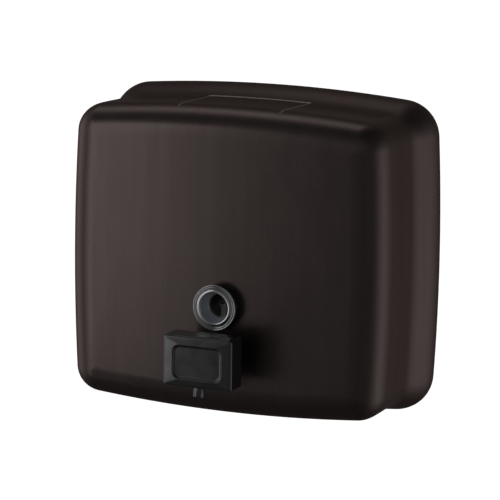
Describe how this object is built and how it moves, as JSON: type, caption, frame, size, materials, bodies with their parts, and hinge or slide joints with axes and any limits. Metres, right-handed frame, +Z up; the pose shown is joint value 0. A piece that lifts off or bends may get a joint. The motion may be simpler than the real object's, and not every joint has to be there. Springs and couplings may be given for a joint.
{
  "type": "wall mounted soap dispenser",
  "caption": "Wall mounted liquid soap dispenser: bowed two-tier metal reservoir, hinged filler lid on top, round sight window and a push-button valve with a spout.",
  "frame": {"origin": "centre of the wall plate's four screw holes, in the wall plane", "axes": "+X to the right seen from the front, +Y into the wall, +Z up; the front faces -Y"},
  "size_m": [0.178, 0.1093, 0.162],
  "materials": {
    "bronze": "dark bronze, satin",
    "steel": "brushed",
    "spring_steel": "polished",
    "clear": "clear acrylic",
    "rubber": "matt",
    "white_plastic": "moulded",
    "black_plastic": "gloss",
    "brass": "turned"
  },
  "bodies": {
    "dispenser": {"wall_plate": "steel", "lock_nut": "steel", "lock_screw": "steel", "body_shell": "bronze", "back_panel": "steel", "hanger_bracket": "steel", "lock_bracket": "steel", "filler_frame": "steel", "hinge_pin": "steel", "catch_spring": "spring_steel", "catch_rivets": "steel", "sight_window": "clear", "window_gasket": "rubber", "window_washer": "rubber", "window_nut": "white_plastic", "valve_body": "black_plastic", "valve_gasket": "rubber", "valve_washer": "rubber", "valve_nut": "brass", "stem_seal": "rubber", "pump_cylinder": "white_plastic", "inlet_seat": "white_plastic", "ball_cage": "white_plastic", "return_spring": "spring_steel"},
    "lid": {"filler_lid": "bronze"},
    "plunger": {"push_button": "black_plastic", "spout": "black_plastic", "duckbill": "rubber", "plunger_stem": "white_plastic", "piston": "white_plastic", "u_packing": "rubber"},
    "check_ball": {"inlet_ball": "spring_steel"}
  },
  "joints": [
    {"name": "lid_hinge", "type": "hinge", "parent": "dispenser", "child": "lid", "pos_m": [0, -0.048, 0.07288], "axis": [-1, 0, 0], "range_deg": [0, 95]},
    {"name": "button_push", "type": "slide", "parent": "dispenser", "child": "plunger", "axis": [0, 1, 0], "range_m": [0, 0.006], "stiffness_N_per_m": 1200, "springref_m": -0.003, "deforming": ["return_spring"]},
    {"name": "ball_lift", "type": "slide", "parent": "dispenser", "child": "check_ball", "axis": [0, -1, 0], "range_m": [0, 0.0012]}
  ]
}
